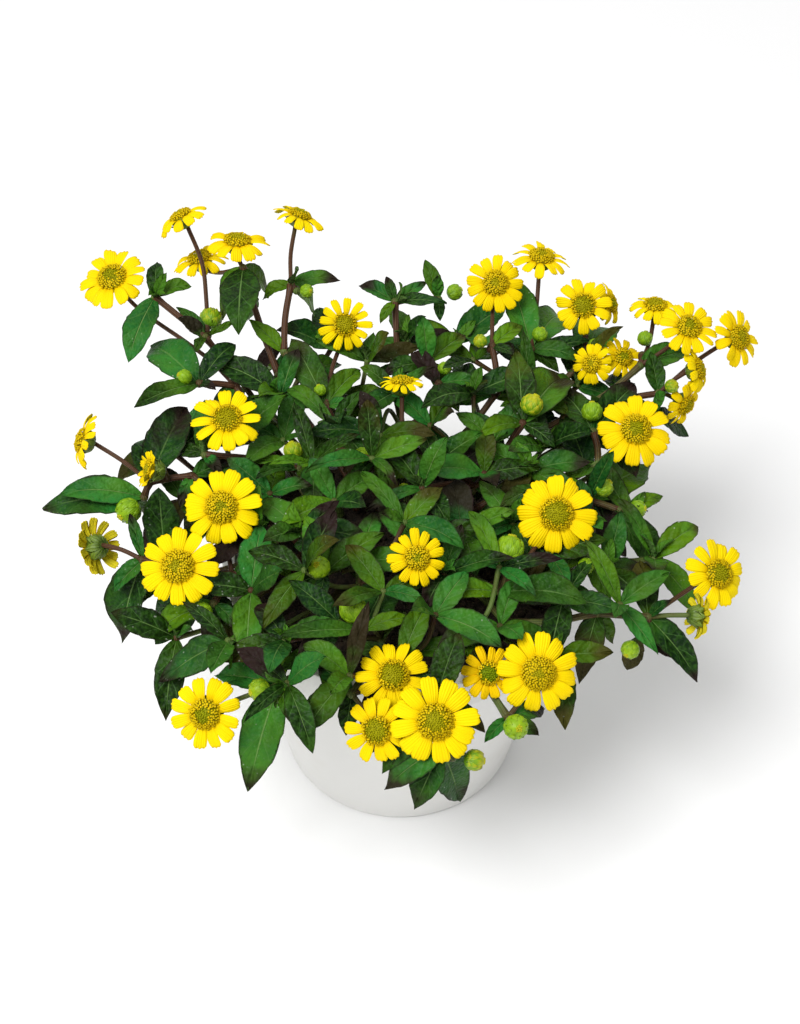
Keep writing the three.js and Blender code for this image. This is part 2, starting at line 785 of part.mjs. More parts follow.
// The first curve between two places that keeps a stem, and the joints that it has on its way, clear of every
// other shoot.
function clearCurve(shoot, radius, from, leaving, to, arriving, spanLength = Infinity) {
  const others = (owner) => owner !== shoot.name;
  return firstOf(SWAYS, (...sway) => {
    const curve = stemCurve(from, leaving, to, arriving, sway);
    const spans = Math.max(1, Math.round(curve.getLength() / spanLength));
    const steps = spans * stepsFor(curve, 1 / spans);
    const ring = (_, k) => stemRing(curve, k / steps, radius + CLEARANCE, FRONT, 2 * STEM_SIDES);
    if (!isClear(skin(Array.from({ length: steps + 1 }, ring), FLAT, FLAT), others)) return null;
    for (let i = 1; i < spans; i += 1) {
      if (!hasRoom(curve.getPoint(i / spans), JOINT_RADIUS, others)) return null;
    }
    return { curve, spans };
  });
}

const shoots = SHOOTS.map((plan, index) => {
  const [x, y] = plan.root;
  const shoot = {
    ...plan,
    name: `shoot_${twoDigits(index + 1)}`,
    seed: 10 * (index + 1),
    joined: [],
    skins: [],
    nodes: [],
  };
  const foot = new THREE.Vector3(x, y, SOIL_TOP - ROOT_DEPTH);
  shoot.crown = addJoint(shoot, knob(new THREE.Vector3(x, y, CROWN), UP, 3));
  shoot.nodes.push(shoot.crown);
  const top = takeFace(shoot.crown, UP.clone().negate()).reverse();
  const bottom = top.map((corner) => corner.clone().setZ(foot.z));
  stand(shoot.name, skin([bottom, top], FLAT, FLAT));
  shoot.skins.push(skin([bottom, top], FLAT, OPEN));
  shoot.foot = foot;
  return shoot;
});

// The joints in turn, each with its bud on a short neck. A joint that would come too near to another shoot
// moves along its line of sight. A stem leaves its joint partly the way that the joint runs.
const STEM_FOLLOWS = 0.8;
const STALK_FOLLOWS = 0.6;

for (const shoot of shoots) {
  const others = (owner) => owner !== shoot.name;
  shoot.places = [];
  shoot.joints.forEach(({ from = -1, at: [across, down, height], leaves, bud = 0 }, k) => {
    const parent = k === 0 || from < 0 ? shoot.crown : shoot.places[from];
    const spanLength = parent === shoot.crown ? NODE_STEP : Infinity;
    const plan = firstOf(SLIDES, (slide) => {
      const end = sighted([across, down, height + slide]);
      const along = end.clone().sub(parent.centre).normalize();
      const run = along.clone().addScaledVector(UP, LEAN).normalize();
      const head = end.clone();
      if (bud) end.addScaledVector(run, -JOINT_RADIUS - NECK - bud / 2);
      if (bud && !hasRoom(head, bud / 2, () => true)) return null;
      if (!hasRoom(end, JOINT_RADIUS, others)) return null;
      if (parent !== shoot.crown) along.addScaledVector(parent.run, STEM_FOLLOWS).normalize();
      const leaving = parent === shoot.crown ? UP : along;
      const way = clearCurve(shoot, STEM_RADIUS, parent.centre, leaving, end, run, spanLength);
      return way && { ...way, head, end, run };
    });
    const { curve, spans, head, end, run } = plan;
    const children = shoot.joints.filter((other) => other.from === k).length;
    const stalks = shoot.flowers.filter(([joint]) => joint === k).length;
    const joint = addJoint(shoot, knob(end, run, 1 + leaves.length + children + stalks + (bud ? 1 : 0)));
    shoot.places.push(joint);
    let before = parent;
    for (let i = 1; i <= spans; i += 1) {
      const t = i / spans;
      const next = i < spans ? addJoint(shoot, knob(curve.getPoint(t), curve.getTangent(t), 5)) : joint;
      addStem(shoot, stemRings(curve, STEM_RADIUS, before, next, (i - 1) / spans, t));
      if (i < spans) shoot.nodes.push(next);
      before = next;
    }
    if (!bud) return;
    const ball = addJoint(shoot, swelling(head, bud / 2, run, TWENTY_FACES));
    const start = takeFace(joint, run);
    addStem(shoot, [start, matched(takeFace(ball, run.clone().negate()).reverse(), start)]);
  });
}

// The flower heads, each on its stalk.
const flowers = shoots.flatMap((shoot) =>
  shoot.flowers.map(([joint, across, down, height, width, turn, lift, form]) => ({
    shoot, joint, across, down, height, width, form, axis: facing(turn, lift),
  })),
);
flowers.forEach((flower, index) => {
  const { shoot, across, down, height, axis, width, form } = flower;
  const parent = shoot.places[flower.joint];
  const seed = 100 + 7 * index;
  flower.name = `flower_${twoDigits(index + 1)}`;
  const curve = firstOf(SLIDES, (slide) => {
    const centre = sighted([across, down, height + slide]);
    if (!isClear(flowerSkin(centre, axis, width, form, seed, CLEARANCE), () => true)) return null;
    flower.centre = centre;
    flower.solid = stand(flower.name, flowerSkin(centre, axis, width, form, seed));
    const end = centre.clone().addScaledVector(axis, -FORMS[form].cupDepth - SEAT_GAP);
    const along = end.clone().sub(parent.centre).normalize();
    const leaving = along.addScaledVector(parent.run, STALK_FOLLOWS).normalize();
    const way = clearCurve(shoot, STALK_RADIUS, parent.centre, leaving, end, axis);
    if (!way) standing.pop();
    return way && way.curve;
  });
  addStem(shoot, stemRings(curve, STALK_RADIUS, parent, null), FLAT);
});

// The soil has a plain round hole for each shoot.
const HOLE_SIDES = 6;
let soil = soilSolid();
for (const { foot } of shoots) {
  const radius = (JOINT_RADIUS + SEAT_GAP) / Math.cos(Math.PI / HOLE_SIDES);
  const drill = new THREE.CylinderGeometry(radius, radius, 2 * ROOT_DEPTH, HOLE_SIDES).rotateX(Math.PI / 2);
  drill.translate(foot.x, foot.y, foot.z - SEAT_GAP + ROOT_DEPTH);
  soil = soil.subtract(solidOf(drill));
}
standing.push({ owner: "soil", solid: soil, box: soil.boundingBox() });

// Flowers stand above the foliage: no leaf grows over a flower, in the space between it and the viewer.
const OPEN_SKY = 34;
const SKY_START = 2;
const SKY_SHARE = 0.42;
const SKY_SIDES = 8;

for (const { centre, width } of flowers) {
  const view = EYE.clone().sub(centre).normalize();
  const radius = SKY_SHARE * width;
  const column = new THREE.CylinderGeometry(radius, radius, OPEN_SKY, SKY_SIDES);
  column.translate(0, OPEN_SKY / 2 + SKY_START, 0);
  column.applyQuaternion(new THREE.Quaternion().setFromUnitVectors(new THREE.Vector3(0, 1, 0), view));
  stand("sky", column.translate(centre.x, centre.y, centre.z));
}

// A leaf from its joint to the first tip where it is clear of all that stands. Near its root it may touch its
// own shoot, which it grows from. tipAt gives the tip for a slide up or down.
const ROOT_SHARE = 0.2;

function growLeaf(shoot, joint, tipAt, breadth, seed) {
  const base = joint.centre;
  const arch = 0.1 + 0.14 * chance(seed);
  LEAF_NUDGES.some(([slide, turn, size]) => {
    const reach = tipAt(slide).sub(base).applyAxisAngle(UP, THREE.MathUtils.degToRad(turn));
    reach.multiplyScalar(size).clampLength(0, LEAF_LONGEST);
    const usual = reach.length() * LEAF_SLENDER * (0.9 + 0.2 * chance(seed + 0.7));
    const wide = breadth ? breadth * size : usual;
    const tip = reach.clone().add(base);
    const curve = leafCurve(base, tip, arch);
    const roomy = skin(leafRings(base, tip, wide, arch, CLEARANCE), curve.getPoint(ROOT_SHARE), tip);
    if (!isClear(roomy, () => true)) return false;

    const rings = leafRings(base, tip, wide, arch);
    const free = [...joint.free];
    const root = matched(takeFace(joint, curve.getTangent(0)), rings[0]);
    const closed = skin([root, ...rings], FLAT, tip);
    if (isClear(closed, (owner) => owner !== shoot.name) && isClear(closed, () => true, TOUCH)) {
      stand(shoot.name, closed);
      shoot.skins.push(skin([root, ...rings], OPEN, tip));
      return true;
    }
    joint.free = free;
    return false;
  });
}

for (const shoot of shoots) {
  shoot.joints.forEach(({ at, leaves }, k) => {
    leaves.forEach(([across, down, rise = 0, breadth], i) => {
      const tipAt = (slide) => sighted([across, down, at[2] + rise + slide]);
      growLeaf(shoot, shoot.places[k], tipAt, breadth, shoot.seed + 5 * k + i);
    });
  });
}

// Leaves round a joint that are placed by rule: crossed pairs, the outer pair low, the inner pair raised and
// shorter.
const OUTER_LIFT = 0.12;
const INNER_LIFT = 0.62;
const INNER_LENGTH = 0.8;

function addPairs(shoot, joint, pairs, length, seed) {
  const [side, over] = squareTo(joint.run, RIGHT);
  for (let i = 0; i < 2 * pairs; i += 1) {
    const inner = i >= 2;
    const turn = (chance(seed) + i + (inner ? 0.5 : 0)) * Math.PI;
    const lift = inner ? INNER_LIFT : OUTER_LIFT;
    const reach = length * (inner ? INNER_LENGTH : 1) * (0.85 + 0.3 * chance(seed + 0.1 * i));
    const tip = joint.centre
      .clone()
      .addScaledVector(side, reach * Math.cos(lift) * Math.cos(turn))
      .addScaledVector(over, reach * Math.cos(lift) * Math.sin(turn))
      .addScaledVector(joint.run, reach * Math.sin(lift));
    growLeaf(shoot, joint, (slide) => tip.clone().addScaledVector(UP, slide), null, seed + i);
  }
}

// The tufts that fill the cushion: short side stems spread evenly over it, each with two crossed pairs of
// leaves.
const TUFTS = 72;
const TUFT_SPREAD = 80;
const TUFT_BACK = 4;
const TUFT_HEIGHT = 108;
const TUFT_STRAY = 6;
const TUFT_TILT = 0.1;
const TUFT_SIDE_FALL = 0.0024;
const TUFT_BACK_FALL = 0.0016;
const TUFT_BACK_START = 20;
const TUFT_RISE = 4;
const TUFT_FACES = 3;
const TUFT_LEAF = 21;
const TUFT_JOINT = 0.8 * JOINT_RADIUS;
const TUFT_SLIDES = 5;
const PERCHES = 4;
const NODE_LEAF = 18;
const GOLDEN_ANGLE = Math.PI * (3 - Math.sqrt(5));

function tuftPlace(index) {
  const out = TUFT_SPREAD * Math.sqrt((index + 0.5) / TUFTS);
  const turn = index * GOLDEN_ANGLE;
  const x = out * Math.cos(turn);
  const y = out * Math.sin(turn) + TUFT_BACK;
  const behind = Math.max(0, y - TUFT_BACK_START);
  const slope = TUFT_TILT * y - TUFT_SIDE_FALL * x * x - TUFT_BACK_FALL * behind ** 2;
  return new THREE.Vector3(x, y, TUFT_HEIGHT + slope + TUFT_STRAY * (chance(index + 0.2) - 0.5));
}

for (let index = 0; index < TUFTS; index += 1) {
  const wanted = tuftPlace(index);
  const perches = shoots
    .flatMap((shoot) => shoot.nodes.map((joint) => ({ shoot, joint, gap: joint.centre.distanceTo(wanted) })))
    .filter(({ joint }) => joint.centre.z < wanted.z - TUFT_RISE && joint.free.length > TUFT_FACES)
    .sort((a, b) => a.gap - b.gap)
    .slice(0, PERCHES)
    .map((perch) => [perch]);
  const grown = firstOf(SLIDES.slice(0, TUFT_SLIDES), (slide) =>
    firstOf(perches, ({ shoot, joint }) => {
      const place = wanted.clone().addScaledVector(UP, slide);
      if (!hasRoom(place, TUFT_JOINT, () => true)) return null;
      const along = place.clone().sub(joint.centre).normalize();
      const run = along.clone().add(UP).normalize();
      const leaving = along.add(joint.run).normalize();
      const way = clearCurve(shoot, STALK_RADIUS, joint.centre, leaving, place, run);
      if (!way) return null;
      const free = [...joint.free];
      const tuft = swelling(place, TUFT_JOINT, run, EIGHT_FACES);
      const rings = stemRings(way.curve, STALK_RADIUS, joint, tuft);
      if (isClear(skin(rings, FLAT, FLAT), (owner) => owner !== shoot.name)) return { shoot, tuft, rings };
      joint.free = free;
      return null;
    }),
  );
  if (!grown) continue;
  const { shoot, tuft, rings } = grown;
  addJoint(shoot, tuft);
  addStem(shoot, rings);
  addPairs(shoot, tuft, 2, TUFT_LEAF, 400 + 4 * index);
}

// A pair of leaves at each joint that a long stem has on its way.
for (const shoot of shoots) {
  shoot.nodes.forEach((joint, k) => {
    if (joint !== shoot.crown) addPairs(shoot, joint, 1, NODE_LEAF, 800 + shoot.seed + k);
  });
}

// A shoot as one closed body: its skins and the faces that its joints have left.
function shootGeometry({ skins, joined }) {
  const points = [];
  const add = (geometry) => {
    const place = geometry.attributes.position;
    for (const i of geometry.index.array) points.push(new THREE.Vector3().fromBufferAttribute(place, i));
  };
  skins.forEach(add);
  joined.forEach(({ free }) => add(facesGeometry(free)));
  return mergeVertices(new THREE.BufferGeometry().setFromPoints(points), 1e-4);
}

// The nodes.
const FINISHES = {
  pot: { color: 0xe6e5e1, roughness: 0.5 },
  soil: { color: 0x2c211a, roughness: 0.95 },
  shoot: { color: 0x2f5a2c, roughness: 0.55 },
  flower: { color: 0xf5cf12, roughness: 0.6 },
};

function node(name, geometry, finish) {
  const material = new THREE.MeshStandardMaterial({ ...FINISHES[finish], metalness: 0 });
  const mesh = new THREE.Mesh(geometry, material);
  mesh.name = name;
  return mesh;
}

const group = new THREE.Group();
group.add(node("pot", geometryOf(pot), "pot"), node("soil", geometryOf(soil), "soil"));
for (const shoot of shoots) group.add(node(shoot.name, shootGeometry(shoot), "shoot"));
for (const { name, solid } of flowers) group.add(node(name, geometryOf(solid), "flower"));

export default group;
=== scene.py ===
# A creeping zinnia in a round plastic pot: the finished look of the plant whose solids are in the frame.
# Metres, +Z up, the viewer on the side of -Y. The pot stands on the floor at the origin.
import math
import random

import bpy
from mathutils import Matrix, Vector, noise


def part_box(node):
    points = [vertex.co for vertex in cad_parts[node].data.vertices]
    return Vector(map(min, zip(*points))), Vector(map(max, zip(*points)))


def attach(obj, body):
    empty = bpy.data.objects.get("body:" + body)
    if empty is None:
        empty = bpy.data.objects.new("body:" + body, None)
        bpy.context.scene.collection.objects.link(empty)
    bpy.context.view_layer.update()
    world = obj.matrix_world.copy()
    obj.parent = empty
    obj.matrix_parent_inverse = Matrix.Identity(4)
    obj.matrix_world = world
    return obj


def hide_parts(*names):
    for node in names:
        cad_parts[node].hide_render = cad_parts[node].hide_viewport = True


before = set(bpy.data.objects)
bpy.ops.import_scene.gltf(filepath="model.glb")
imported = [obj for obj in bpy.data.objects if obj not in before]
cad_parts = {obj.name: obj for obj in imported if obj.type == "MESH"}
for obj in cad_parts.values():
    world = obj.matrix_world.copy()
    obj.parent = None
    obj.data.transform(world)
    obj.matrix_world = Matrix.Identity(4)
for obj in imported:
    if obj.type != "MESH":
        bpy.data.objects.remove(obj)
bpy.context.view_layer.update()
MM = 0.001

# The camera looks down at the cushion from the front at 45 degrees, as in the photograph.
camera_data = bpy.data.cameras.new("camera")
camera_data.lens = 55
tilt = math.radians(45)
distance = 450
camera = bpy.data.objects.new("camera", camera_data)
bpy.context.scene.collection.objects.link(camera)
bpy.context.scene.camera = camera
aim = Vector((0, -16, 121)) * MM
to_viewer = Vector((0, -math.sin(tilt), math.cos(tilt)))
camera.location = aim + to_viewer * distance * MM
camera.rotation_euler = (tilt, 0, 0)


# The pot: thin off-white polypropylene, moulded in one piece, with a band round its rim and a matt skin that
# is a little scuffed. Its wall tapers to a foot with four drain holes.
UP = Vector((0, 0, 1))


class Wire:
    """An output in a material's node tree. Arithmetic on it adds Math nodes, and node adds any other."""

    def __init__(self, socket):
        self.socket = socket
        self.tree = socket.id_data

    def node(self, kind, settings, sockets, out=0):
        made = self.tree.nodes.new("ShaderNode" + kind)
        for name, value in settings.items():
            setattr(made, name, value)
        for name, value in sockets.items():
            self.plug(made.inputs[name], value)
        return Wire(made.outputs[out])

    def plug(self, socket, value):
        if isinstance(value, Wire):
            self.tree.links.new(value.socket, socket)
        else:
            socket.default_value = value

    def maths(self, operation, *values):
        return self.node("Math", {"operation": operation}, dict(enumerate(values)))

    def __add__(self, other):
        return self.maths("ADD", self, other)

    def __sub__(self, other):
        return self.maths("SUBTRACT", self, other)

    def __rsub__(self, other):
        return self.maths("SUBTRACT", other, self)

    def __mul__(self, other):
        return self.maths("MULTIPLY", self, other)

    def __abs__(self):
        return self.maths("ABSOLUTE", self)

    __radd__ = __add__
    __rmul__ = __mul__

    def rise(self, low, high):
        """0 below low, 1 above high, smooth between them."""
        spans = {"Value": self, "From Min": low, "From Max": high}
        return self.node("MapRange", {"interpolation_type": "SMOOTHSTEP"}, spans)

    def blend(self, a, b):
        """From colour a at 0 to colour b at 1."""
        ends = {0: self, 6: a if isinstance(a, Wire) else (*a, 1), 7: b if isinstance(b, Wire) else (*b, 1)}
        return self.node("Mix", {"data_type": "RGBA"}, ends, out=2)

    def noise(self, scale, detail=3):
        """Noise over these coordinates, about 0.5 on average."""
        return self.node("TexNoise", {}, {"Vector": self, "Scale": scale, "Detail": detail})

    def part(self, axis):
        return self.node("SeparateXYZ", {}, {0: self}, out=axis)


class Finish:
    """A material with its Principled shader. place is the place in the frame, in metres."""

    def __init__(self, name, **uniform):
        self.material = bpy.data.materials.new(name)
        self.material.use_nodes = True
        self.tree = self.material.node_tree
        self.shader = self.tree.nodes["Principled BSDF"]
        self.place = Wire(self.tree.nodes.new("ShaderNodeTexCoord").outputs["Object"])
        for socket, value in uniform.items():
            self.shader.inputs[socket.replace("_", " ")].default_value = value

    def wear(self, socket, value):
        self.place.plug(self.shader.inputs[socket], value)

    def bump(self, height, distance):
        """Raises the surface by height times distance, in metres."""
        sockets = {"Height": height, "Distance": distance, "Strength": 1.0}
        self.wear("Normal", self.place.node("Bump", {}, sockets))

    def attribute(self, name):
        return self.place.node("Attribute", {"attribute_name": name}, {}, out="Vector")


class Body:
    """A mesh in the making, in metres. across and kind become attributes that the materials read."""

    def __init__(self):
        self.points, self.faces, self.finishes, self.across, self.kind = [], [], [], [], []

    def add(self, points, across, kind):
        """New points, each with its place on the blade or stem. All share the three marks of kind, such as a
        chance, an age and a ripeness."""
        first = len(self.points)
        self.points += points
        self.across += across
        self.kind += [kind] * len(points)
        return first

    def face(self, corners, finish=0):
        self.faces.append(corners)
        self.finishes.append(finish)

    def tube(self, rings, finish=0, start=True, end=True):
        """Skins rings, which are lists of point numbers, and closes the ends that are wanted."""
        for ring, after in zip(rings, rings[1:]):
            count = len(ring)
            for i in range(count):
                j = (i + 1) % count
                self.face((ring[i], ring[j], after[j], after[i]), finish)
        if start:
            self.face(tuple(reversed(rings[0])), finish)
        if end:
            self.face(tuple(rings[-1]), finish)

    def piece(self, name, node, finishes):
        """Makes the mesh an object that takes the place of a node."""
        mesh = bpy.data.meshes.new(name)
        mesh.from_pydata(self.points, [], self.faces)
        mesh.polygons.foreach_set("material_index", self.finishes)
        mesh.polygons.foreach_set("use_smooth", [True] * len(self.faces))
        for label, values in (("across", self.across), ("kind", self.kind)):
            marks = mesh.attributes.new(label, "FLOAT_VECTOR", "POINT")
            marks.data.foreach_set("vector", [c for value in values for c in value])
        for finish in finishes:
            mesh.materials.append(finish.material)
        made = bpy.data.objects.new(name, mesh)
        bpy.context.scene.collection.objects.link(made)
        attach(made, "root")
        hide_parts(node)


rim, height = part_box("pot")[1].xz
band, step, wall, foot, floor = 13 * MM, 2.4 * MM, 1.6 * MM, 39 * MM, 2.4 * MM
shoulder = rim - step
drain_ring, drain_radius = 25 * MM, 4 * MM
corners = [
    (0, 0, 0), (foot, 0, 2), (shoulder - 1 * MM, height - band, 0.5), (rim - 0.4 * MM, height - band, 0.8),
    (rim, height, 0.75), (shoulder - wall, height, 0.75), (foot - wall, floor, 2), (0, floor, 0),
]
outline = []
for before, here, after in zip(corners, corners[1:], corners[2:]):
    corner, softness = Vector(here[:2]), here[2] * MM
    a = corner + (Vector(before[:2]) - corner).normalized() * softness
    b = corner + (Vector(after[:2]) - corner).normalized() * softness
    outline += [a.lerp(corner, i / 4).lerp(corner.lerp(b, i / 4), i / 4) for i in range(5)]
pot = Body()
turns, sides = 160, 24


def circle(body, middle, radius, count, start=0.0):
    """A level ring of points round a middle, counter-clockwise from above."""
    angles = [start + 2 * math.pi * i / count for i in range(count)]
    points = [middle + radius * Vector((math.cos(a), math.sin(a), 0)) for a in angles]
    first = body.add(points, [(0, 0, 0)] * count, (0, 0, 0))
    return list(range(first, first + count))


rings = [circle(pot, Vector((0, 0, z)), r, turns) for r, z in outline]
pot.tube(rings, start=False, end=False)
drains = []
for ring, z in ((rings[0], 0), (rings[-1], floor)):
    centre = circle(pot, Vector((0, 0, z)), 0, 1)[0]
    drains.append([])
    for quarter in range(4):
        a = (quarter + 0.5) * math.pi / 2
        middle = Vector((math.cos(a), math.sin(a), 0)) * drain_ring + UP * z
        hole = circle(pot, middle, drain_radius, sides, a + math.pi)
        arc = [ring[(quarter * turns // 4 + k) % turns] for k in range(turns // 4 + 1)]
        half = len(arc) // 2
        one = [centre, *arc[: half + 1], *reversed(hole[: sides // 2 + 1])]
        other = [centre, hole[0], *reversed(hole[sides // 2 :]), *arc[half:]]
        for patch in (one, other):
            pot.face(tuple(patch if z else reversed(patch)))
        drains[-1].append(hole)
for low, high in zip(*drains):
    pot.tube([high, low], start=False, end=False)
plastic = Finish("pot_plastic", Roughness=0.5, IOR=1.49)
scuffs = plastic.place.node("VectorMath", {"operation": "MULTIPLY"}, {0: plastic.place, 1: (90, 90, 900)})
scuffs = scuffs.noise(1.0, 4).rise(0.6, 0.78)
stains = plastic.place.noise(28, 4).rise(0.52, 0.8)
plastic.wear("Base Color", (stains * 0.35).blend((0.78, 0.775, 0.75), (0.62, 0.58, 0.5)))
plastic.wear("Roughness", 0.46 + scuffs * 0.14 + stains * 0.1)
plastic.bump(plastic.place.noise(2600, 2) + scuffs * 0.6, 0.00003)
pot.piece("pot_shell", "pot", [plastic])

# The soil: dark damp peat that fills the pot to a little under its rim. It is crumbled on top, and loose
# crumbs lie on it.
soil_top = 81 * MM
brim = shoulder - wall - 1 * MM
soil = Body()


def soil_height(x, y):
    """The rough height of the soil, as the solid has it, in metres."""
    x, y = x / MM, y / MM
    mound = 1.5 * math.cos(math.pi * math.hypot(x, y) / (2 * rim / MM))
    crumbs = math.sin(0.63 * x + 1.3 * math.sin(0.4 * y)) * math.cos(0.57 * y + math.sin(0.5 * x))
    return soil_top + (mound + 0.7 * crumbs) * MM


sides, rows = 96, 34
rings = [circle(soil, UP * (floor + 0.3 * MM), foot - wall - 1 * MM, sides)]
for k in range(rows):
    rings.append(circle(soil, UP * soil_top, brim * (1 - k / rows) + 0.2 * MM, sides))
for i in range(sides, len(soil.points)):
    x, y, _ = soil.points[i]
    rough = noise.fractal(Vector((x, y, 0)) * 260, 1.0, 2.0, 4) * 0.9 * MM
    sunk = 1.2 * MM if i < 2 * sides else 0
    soil.points[i].z = soil_height(x, y) + rough - sunk
soil.tube(rings)
draw = random.Random(7)
crumbs = 420
for _ in range(crumbs):
    out, turn = brim * math.sqrt(draw.random()) * 0.97, draw.uniform(0, 2 * math.pi)
    size = draw.uniform(0.5, 1.7) * MM
    middle = Vector((out * math.cos(turn), out * math.sin(turn), 0))
    middle.z = soil_height(middle.x, middle.y) + 0.3 * size
    levels = []
    for level in range(4):
        tilt = math.pi * (level + 0.5) / 4
        ring = circle(soil, middle - UP * size * math.cos(tilt) * 0.8, size * math.sin(tilt), 6)
        for i in ring:
            soil.points[i] += Vector([draw.uniform(-0.25, 0.25) * size for _ in range(3)])
        levels.append(ring)
    soil.tube(levels)
peat = Finish("soil_peat", Roughness=0.9)
dry = peat.place.noise(500, 4).rise(0.3, 0.72)
peat.wear("Base Color", dry.blend((0.012, 0.008, 0.005), (0.075, 0.048, 0.03)))
peat.wear("Roughness", 0.75 + peat.place.noise(160) * 0.3)
peat.bump(peat.place.noise(1500, 5), 0.0005)
soil.piece("soil_bed", "soil", [peat])


# The shoots are read from their solids. A solid's skin is a chain of three-cornered rings: a leaf is two
# rings, at the cut shares of its length, and a tip. A stem is even rings from joint to joint, and a joint or
# a bud is a small ball of even corners.
cut_shares = 0.37, 0.73
stem_radii = 1.25 * MM, 0.85 * MM
joint_radius = 2.1 * MM


def skin_of(node):
    """A solid's corners, its triangles, and for each corner those that it shares an edge with."""
    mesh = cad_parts[node].data
    places, numbers, own = [], {}, []
    for vertex in mesh.vertices:
        number = numbers.setdefault(tuple(round(c / (0.001 * MM)) for c in vertex.co), len(places))
        if number == len(places):
            places.append(vertex.co.copy())
        own.append(number)
    faces = [frozenset(own[i] for i in polygon.vertices) for polygon in mesh.polygons]
    near = [set() for _ in places]
    for face in faces:
        for i in face:
            near[i] |= face - {i}
    return places, faces, near


def mean(points):
    return sum(points, Vector()) / len(points)


def is_even(places, ring, radius):
    """Whether a ring's corners lie at this radius round their middle."""
    middle = mean([places[i] for i in ring])
    return all(abs((places[i] - middle).length - radius) < 0.01 * MM for i in ring)


def blade_cut(places, ring):
    """The middle, the half width along the side, and the upward direction of a leaf where a ring cuts it."""
    pairs = [(i, j) for i in ring for j in ring if i < j]
    i, j = max(pairs, key=lambda pair: (places[pair[0]] - places[pair[1]]).length)
    keel = places[next(iter(set(ring) - {i, j}))]
    upper = (places[i] + places[j]) / 2
    return (upper + keel) / 2, (places[i] - places[j]) / 2, (upper - keel).normalized()


def read_shoot(node):
    """The leaves, stems, joints and buds of a shoot's solid."""
    places, faces, near = skin_of(node)
    flat = set(faces)
    cuts = {frozenset((a, b, c)) for a in range(len(near)) for b in near[a] for c in near[a] & near[b]} - flat
    deep = soil_top - 5 * MM
    buried = {i for i, place in enumerate(places) if place.z < deep and Vector(place.xy).length < brim}
    leaves, taken = [], set(buried)
    # A leaf's tip is a corner with three edges, which lead to its outer ring.
    for tip, outer in enumerate(near):
        if len(outer) != 3 or tip in buried:
            continue
        inner = set().union(*(near[i] for i in outer)) - outer - {tip}
        taken |= inner | outer | {tip}
        low, wide, up = blade_cut(places, inner)
        high, narrow, _ = blade_cut(places, outer)
        if wide.dot(narrow) < 0:
            narrow.negate()
        found = {"tip": places[tip], "low": low, "high": high, "wide": wide, "narrow": narrow, "up": up}
        leaves.append(found)

    # A stem is followed from a joint, ring by ring, to the next joint or to its free end.
    rings = {ring for ring in cuts | flat for radius in stem_radii if is_even(places, ring, radius)}
    beyond = {ring: set().union(*(near[i] for i in ring)) - ring for ring in rings}
    beside = {ring: [cut for cut in cuts | rings if cut <= beyond[ring]] for ring in rings}
    chains, done = [], set()
    for ring in sorted(rings, key=sorted):
        joints = [cut for cut in beside[ring] if cut not in rings]
        if ring in done or not joints:
            continue
        chain = [joints[0], ring]
        while chain[-1] in rings:
            done.add(chain[-1])
            onward = [cut for cut in beside[chain[-1]] if cut != chain[-2]]
            if not onward:
                break
            chain.append(onward[0])
        chains.append(chain)

    # The corners that are left are joints, some with a bud on them: one ball, or two of 6 or 12 corners.
    left = set(range(len(places))) - taken - set().union(*rings)
    balls, buds, ball_of = [], [], {}
    while left:
        group, edge = set(), {min(left)}
        while edge:
            group |= edge
            edge = set().union(*(near[i] for i in edge)) & left - group
        left -= group
        far = max(group, key=lambda i: (places[i] - mean([places[j] for j in group])).length)
        order = sorted(group, key=lambda i: (places[i] - places[far]).length)
        for split in (len(order), 6, 12):
            parts = [part for part in (order[:split], order[split:]) if part]
            spans = [(places[part[0]] - mean([places[i] for i in part])).length for part in parts]
            if all(is_even(places, part, span) for part, span in zip(parts, spans)):
                break
        for part, span in zip(parts, spans):
            middle = mean([places[i] for i in part])
            is_bud = len(parts) > 1 and abs(span - joint_radius) > 0.05 * MM
            (buds if is_bud else balls).append((middle, span))
            ball_of.update({i: middle for i in part})
        if len(parts) > 1:
            buds[-1] = (*buds[-1], (buds[-1][0] - balls[-1][0]).normalized())
    stems = []
    for chain in chains:
        path = [ball_of.get(min(ring)) or mean([places[i] for i in ring]) for ring in chain]
        free = chain[-1] in rings
        thick = (places[min(chain[1])] - mean([places[i] for i in chain[1]])).length
        stems.append({"path": path, "free": free, "radius": thick})
    return leaves, stems, balls, buds


# Leaves: opposite pointed ovals with a sunk pale midrib, faint side veins that run forward, and a margin with
# a few shallow teeth. The skin is dark green and dull, with white specks. Old leaves and tips turn purple.
def spread(count):
    """Places over a blade's width, from 1 to -1, closest at its edges."""
    return [math.sin(math.pi * (0.5 - i / (count - 1))) for i in range(count)]


def blade(body, spine, half, relief, thick, kind, steps, upper, lower, end=None, finish=0):
    """A closed thin blade. spine(v) gives the place, side and up at v from root to tip, and half(v) the half
    width. relief(u, v) is the height of the upper face, thick(u, v) the thickness, and end(u) the v where the
    blade ends. upper and lower are the places over its width, edge to edge, where each face has points."""
    rings = []
    row = [(-u, 1) for u in upper] + [(u, 0) for u in lower[1:-1]]
    for k in range(steps + 1):
        points, across = [], []
        for u, over in row:
            v = k / steps * (end(u) if end else 1)
            place, side, up = spine(v)
            rise = relief(u, v) - (0 if over else thick(u, v))
            points.append(place + side * (u * half(k / steps)) + up * rise)
            across.append((u, v, over))
        first = body.add(points, across, kind)
        rings.append(list(range(first + len(row) - 1, first - 1, -1)))
    body.tube(rings, finish)


